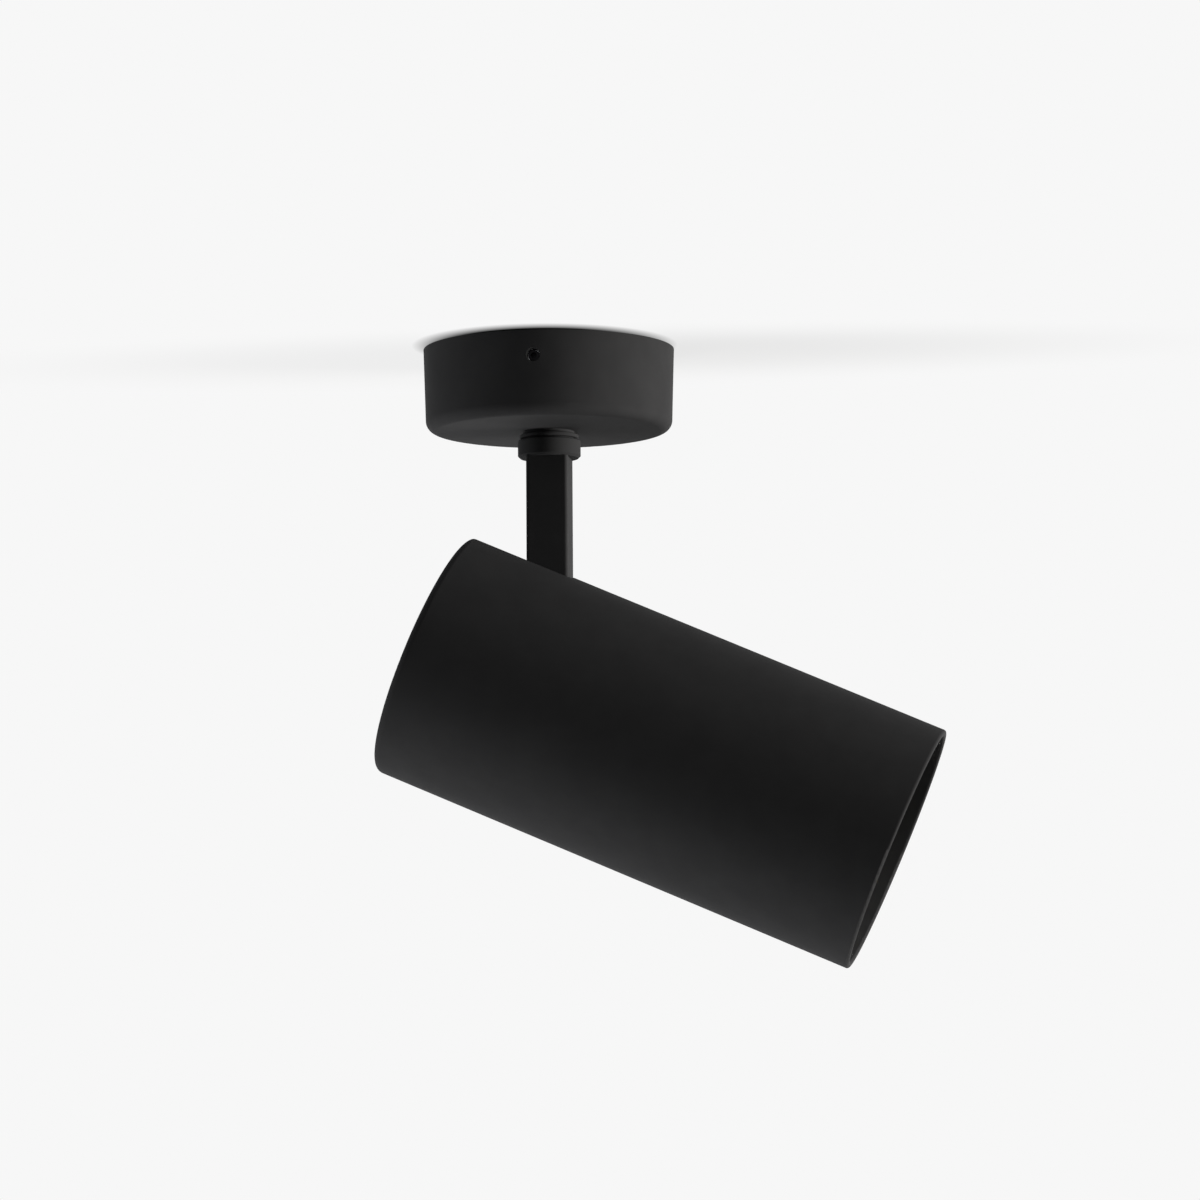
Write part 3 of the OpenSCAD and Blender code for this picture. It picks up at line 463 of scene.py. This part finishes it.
def add_nipple():
    rows = round((NIPPLE_FOOT - NIPPLE_TOP) / THREAD_PITCH * THREAD_ROWS)
    outside = []
    for i in range(rows + 1):
        z = NIPPLE_TOP + (NIPPLE_FOOT - NIPPLE_TOP) * i / rows
        outside.append([(thread_radius(k / THREAD_SIDES, z), z) for k in range(THREAD_SIDES)])
    inside = [
        [(NIPPLE_BORE_R, z)] * THREAD_SIDES
        for z in (NIPPLE_FOOT, (NIPPLE_FOOT + NIPPLE_TOP) / 2, NIPPLE_TOP)
    ]
    rings = outside + inside
    points = [
        at(r * math.cos(math.tau * k / THREAD_SIDES), r * math.sin(math.tau * k / THREAD_SIDES), -z)
        for ring in rings
        for k, (r, z) in enumerate(ring)
    ]
    faces = grid_faces(len(rings), THREAD_SIDES)
    last = (len(rings) - 1) * THREAD_SIDES
    faces += [
        (last + k, last + (k + 1) % THREAD_SIDES, (k + 1) % THREAD_SIDES, k) for k in range(THREAD_SIDES)
    ]
    add_piece("nipple_threaded", points, faces, [MATERIALS["plated_steel"]], "swivel",
              ("hollow_nipple",))


# Lamp front: a lens with a well, small hexagonal lenses round it, and the lit board behind
LENS_RINGS = 96
LENS_SIDES = 300
LENS_BACK = 0.9
LENS_HUB_R = 0.02
LENS_BEVEL = 0.2
WELL_R, BRIM_R = 6.7, 10.0
WELL_DEPTH = 1.0
WELL_DOME = 0.5
LENSLET_PITCH = 2.3
LENSLET_RISE = 0.3
LENSLET_FALL = 3
LENSLET_FADE = 0.5
LENS_EDGE = 1.0
LENS_EDGE_SLOPE = 0.5


def lenslet(x, y):
    """1 on the top of the nearest of many small hexagonal lenses, 0 at their corners."""
    high = LENSLET_PITCH * math.sqrt(3)
    nearest = LENSLET_PITCH
    for shift in (0, 0.5):
        dx = (x / LENSLET_PITCH - shift + 0.5) % 1 - 0.5
        dy = (y / high - shift + 0.5) % 1 - 0.5
        nearest = min(nearest, math.hypot(dx * LENSLET_PITCH, dy * high))
    return max(0, 1 - LENSLET_FALL * (nearest / LENSLET_PITCH) ** 2)


def ramp(value, low, high):
    """Smooth step from 0 at low to 1 at high."""
    t = min(max((value - low) / (high - low), 0), 1)
    return t * t * (3 - 2 * t)


def lens_height(r, x, y):
    """Height of the lens's front over its seat."""
    if r <= WELL_R:
        return LENS_T - WELL_DEPTH + WELL_DOME * (1 - (r / WELL_R) ** 2)
    if r <= BRIM_R:
        return LENS_T - WELL_DEPTH * (BRIM_R - r) / (BRIM_R - WELL_R)
    outer = LENS_R - LENS_EDGE
    if r <= outer:
        inside = ramp(r, BRIM_R, BRIM_R + LENSLET_FADE) * ramp(outer - r, 0, LENSLET_FADE)
        return LENS_T - LENSLET_RISE * (1 - lenslet(x, y)) * inside
    return LENS_T - LENS_EDGE_SLOPE * (r - outer)


def lamp_ring(r, sides, height):
    """Ring of points round the lamp's axis; height gives each its height over the lens's seat."""
    turns = [math.tau * k / sides for k in range(sides)]
    across = [(r * math.cos(turn), r * math.sin(turn)) for turn in turns]
    return [in_head(LENS_FOOT + height(r, y, z), y, z) for y, z in across]


def flat(height):
    """Height function of a level ring."""
    return lambda r, y, z: height


def add_lens():
    points = lamp_ring(LENS_HUB_R, LENS_SIDES, lens_height)
    for i in range(1, LENS_RINGS + 1):
        points += lamp_ring(LENS_R * i / LENS_RINGS, LENS_SIDES, lens_height)
    for r, height in (
        (LENS_R, LENS_BACK + LENS_BEVEL),
        (LENS_R - LENS_BEVEL, LENS_BACK),
        (BRIM_R, LENS_BACK),
    ):
        points += lamp_ring(r, LENS_SIDES, flat(height))
    faces = capped_faces(len(points) // LENS_SIDES, LENS_SIDES)
    add_piece("lamp_lens_moulded", points, faces, [MATERIALS["clear_lens"]], "lamp",
              ("lamp_lens",))


BOARD_R, BOARD_LOW, BOARD_HIGH, BOARD_EDGE = 21.6, 0.05, 0.30, 0.05
BOARD_SIDES = 120
CHIP_HALF, CHIP_SUNK, CHIP_RISE, CHIP_EDGE = 1.3, 0.02, 0.4, 0.25
CHIP_CORNERS = ((-1, -1), (1, -1), (1, 1), (-1, 1))
CHIP_CIRCLES = ((1, 0), (6, 5.0), (12, 15.4))


def add_board():
    rings = ((BOARD_R, BOARD_LOW), (BOARD_R, BOARD_HIGH - BOARD_EDGE), (BOARD_R - BOARD_EDGE, BOARD_HIGH))
    points = []
    for r, height in rings:
        points += lamp_ring(r, BOARD_SIDES, flat(height))
    faces = capped_faces(len(rings), BOARD_SIDES)
    add_piece("led_board", points, faces, [WHITE_BOARD], "lamp")


def add_chips():
    top = BOARD_HIGH + CHIP_RISE
    squares = (
        (CHIP_HALF, BOARD_HIGH - CHIP_SUNK),
        (CHIP_HALF, top - CHIP_EDGE),
        (CHIP_HALF - CHIP_EDGE, top),
    )
    points, faces = [], []
    for count, r in CHIP_CIRCLES:
        for i in range(count):
            turn = math.tau * i / count
            faces += [
                tuple(len(points) + n for n in face)
                for face in capped_faces(len(squares), len(CHIP_CORNERS))
            ]
            for half, height in squares:
                for corner in CHIP_CORNERS:
                    a, b = r + corner[0] * half, corner[1] * half
                    y = a * math.cos(turn) - b * math.sin(turn)
                    z = a * math.sin(turn) + b * math.cos(turn)
                    points.append(in_head(LENS_FOOT + height, y, z))
    add_piece("led_chips", points, faces, [PHOSPHOR], "lamp")


# Stage: a pale ceiling that is seen as the background, with a faint wide shadow across the rose, partly
# cast by the lamps and partly painted shade, and a painted dark shadow close to it, on the camera's side
WORLD_LIGHT = 0.01
BACKGROUND = 0.93
CEILING_AT = 0.4 * MM
CEILING_HALF = 1.4
CEILING_BOUNCE = 0.3
PAINTED_SHADE_REFERENCE = 0.95  # level that the ceiling's painted shade is set against: where the lamps light white paint less than this, the background is darker
SHADOW_SHARE = 0.2  # share of the ceiling's light that a shadow can take away
SHADOW_BACK = 15 * MM
SHADOW_FULL = 50 * MM
SHADOW_END = 210 * MM
SHADOW_SQUASH = (1, 3.6, 1)
# Painted shadow close to the rose, a black disc on the ceiling: its centre, the radius where it is full
# and where it ends
PAINTED_SHADOW_AT = (-0.5 * MM, -5.5 * MM)
PAINTED_SHADOW_FULL = 28.5 * MM
PAINTED_SHADOW_END = 37 * MM


def grey(level):
    return (level, level, level, 1)


def sees_background(add, join):
    """1 for the rays that are shown the pale background: camera, glossy and transmission rays."""
    path = add("ShaderNodeLightPath")
    seen = path.outputs["Is Camera Ray"]
    for kind in ("Is Glossy Ray", "Is Transmission Ray"):
        either = add("ShaderNodeMath")
        either.operation = "MAXIMUM"
        join(seen, either.inputs[0])
        join(path.outputs[kind], either.inputs[1])
        seen = either.outputs["Value"]
    return seen


def pale_world():
    world = bpy.data.worlds.new("world")
    bpy.context.scene.world = world
    world.use_nodes = True
    tree = world.node_tree
    tree.nodes.clear()
    add, join = tree.nodes.new, tree.links.new
    seen = add("ShaderNodeBackground")
    seen.inputs["Color"].default_value = grey(BACKGROUND)
    lit = add("ShaderNodeBackground")
    lit.inputs["Color"].default_value = grey(1)
    lit.inputs["Strength"].default_value = WORLD_LIGHT
    mix = add("ShaderNodeMixShader")
    out = add("ShaderNodeOutputWorld")
    join(sees_background(add, join), mix.inputs["Fac"])
    join(lit.outputs[0], mix.inputs[1])
    join(seen.outputs[0], mix.inputs[2])
    join(mix.outputs[0], out.inputs["Surface"])


def ceiling_material():
    """What is seen: the background with the lamps' shadow, painted shade and, close to the rose, a painted
    dark shadow. Other rays: plain paint. From above: clear.
    """
    material = bpy.data.materials.new("ceiling_white")
    material.use_nodes = True
    tree = material.node_tree
    tree.nodes.clear()
    add, join = tree.nodes.new, tree.links.new
    place = add("ShaderNodeTexCoord")

    def distance(x, y, squash=(1, 1, 1)):
        """Distance from the point x, y, along axes scaled by squash."""
        scaled = add("ShaderNodeMapping")
        scaled.inputs["Location"].default_value = (-x * squash[0], -y * squash[1], 0)
        scaled.inputs["Scale"].default_value = squash
        join(place.outputs["Object"], scaled.inputs["Vector"])
        length = add("ShaderNodeVectorMath")
        length.operation = "LENGTH"
        join(scaled.outputs["Vector"], length.inputs[0])
        return length.outputs["Value"]

    def fading(value, *limits, kind="SMOOTHSTEP"):
        fade = add("ShaderNodeMapRange")
        fade.interpolation_type = kind
        set_range(fade, *limits)
        join(value, fade.inputs["Value"])
        return fade.outputs["Result"]

    wide = distance(0, SHADOW_BACK, SHADOW_SQUASH)
    # Emission dimmed near the rose: painted shade, beside the shadow that the lamps cast on the diffuse
    # share
    backdrop_with_painted_shade = add("ShaderNodeEmission")
    painted_shade_deepest = BACKGROUND - SHADOW_SHARE * PAINTED_SHADE_REFERENCE
    join(fading(wide, SHADOW_FULL, SHADOW_END, painted_shade_deepest, BACKGROUND), backdrop_with_painted_shade.inputs["Color"])
    shaded = add("ShaderNodeBsdfDiffuse")
    join(fading(wide, SHADOW_FULL, SHADOW_END, SHADOW_SHARE, 0), shaded.inputs["Color"])
    lit = add("ShaderNodeAddShader")
    join(backdrop_with_painted_shade.outputs[0], lit.inputs[0])
    join(shaded.outputs[0], lit.inputs[1])
    near = distance(*PAINTED_SHADOW_AT)
    # Black emission: the painted shadow
    dark = add("ShaderNodeEmission")
    dark.inputs["Color"].default_value = grey(0)
    # Only rays straight from the camera meet the painted dark shadow: metal mirrors the pale ceiling
    lifted = add("ShaderNodeMath")
    lifted.operation = "MAXIMUM"
    join(fading(near, PAINTED_SHADOW_FULL, PAINTED_SHADOW_END, 0, 1, kind="LINEAR"), lifted.inputs[0])
    join(add("ShaderNodeLightPath").outputs["Ray Depth"], lifted.inputs[1])
    soft = add("ShaderNodeMixShader")
    join(lifted.outputs[0], soft.inputs["Fac"])
    join(dark.outputs[0], soft.inputs[1])
    join(lit.outputs[0], soft.inputs[2])
    paint = add("ShaderNodeBsdfDiffuse")
    paint.inputs["Color"].default_value = grey(CEILING_BOUNCE)
    by_ray = add("ShaderNodeMixShader")
    join(sees_background(add, join), by_ray.inputs["Fac"])
    join(paint.outputs[0], by_ray.inputs[1])
    join(soft.outputs[0], by_ray.inputs[2])
    side = add("ShaderNodeNewGeometry")
    clear = add("ShaderNodeBsdfTransparent")
    by_side = add("ShaderNodeMixShader")
    join(side.outputs["Backfacing"], by_side.inputs["Fac"])
    join(by_ray.outputs[0], by_side.inputs[1])
    join(clear.outputs[0], by_side.inputs[2])
    out = add("ShaderNodeOutputMaterial")
    join(by_side.outputs[0], out.inputs["Surface"])
    return material


def add_ceiling():
    mesh = bpy.data.meshes.new("ceiling")
    h = CEILING_HALF
    corners = [(-h, -h, CEILING_AT), (-h, h, CEILING_AT), (h, h, CEILING_AT), (h, -h, CEILING_AT)]
    mesh.from_pydata(corners, [], [(0, 1, 2, 3)])
    mesh.materials.append(ceiling_material())
    ceiling = bpy.data.objects.new("ceiling", mesh)
    bpy.context.scene.collection.objects.link(ceiling)


# Lights: name, place, size across and down in metres, power in watts, colour
AIM = Vector((20, 0, -90)) * MM
LIGHTS = [
    ("right", (3.2, 0.0, -0.55), (1.4, 1.0), 143, (1.0, 0.98, 0.95)),
    ("left", (-1.5, 0.0, -0.30), (0.7, 0.9), 3.2, (0.93, 0.96, 1.0)),
    ("below", (-0.7, 0.1, -1.2), (0.9, 0.8), 12.2, (1, 1, 1)),
]


def add_lights():
    for name, place, size, power, color in LIGHTS:
        data = bpy.data.lights.new(name, "AREA")
        data.shape = "RECTANGLE"
        data.size, data.size_y = size
        data.energy = power
        data.color = color
        light = bpy.data.objects.new(name, data)
        light.location = place
        light.visible_camera = False
        light.rotation_euler = (AIM - Vector(place)).to_track_quat("-Z", "Y").to_euler()
        bpy.context.scene.collection.objects.link(light)


add_camera()
dress_nodes()
add_leads()
add_nipple()
add_lens()
add_board()
add_chips()
pale_world()
add_ceiling()
add_lights()
bpy.context.scene.view_settings.view_transform = "Standard"
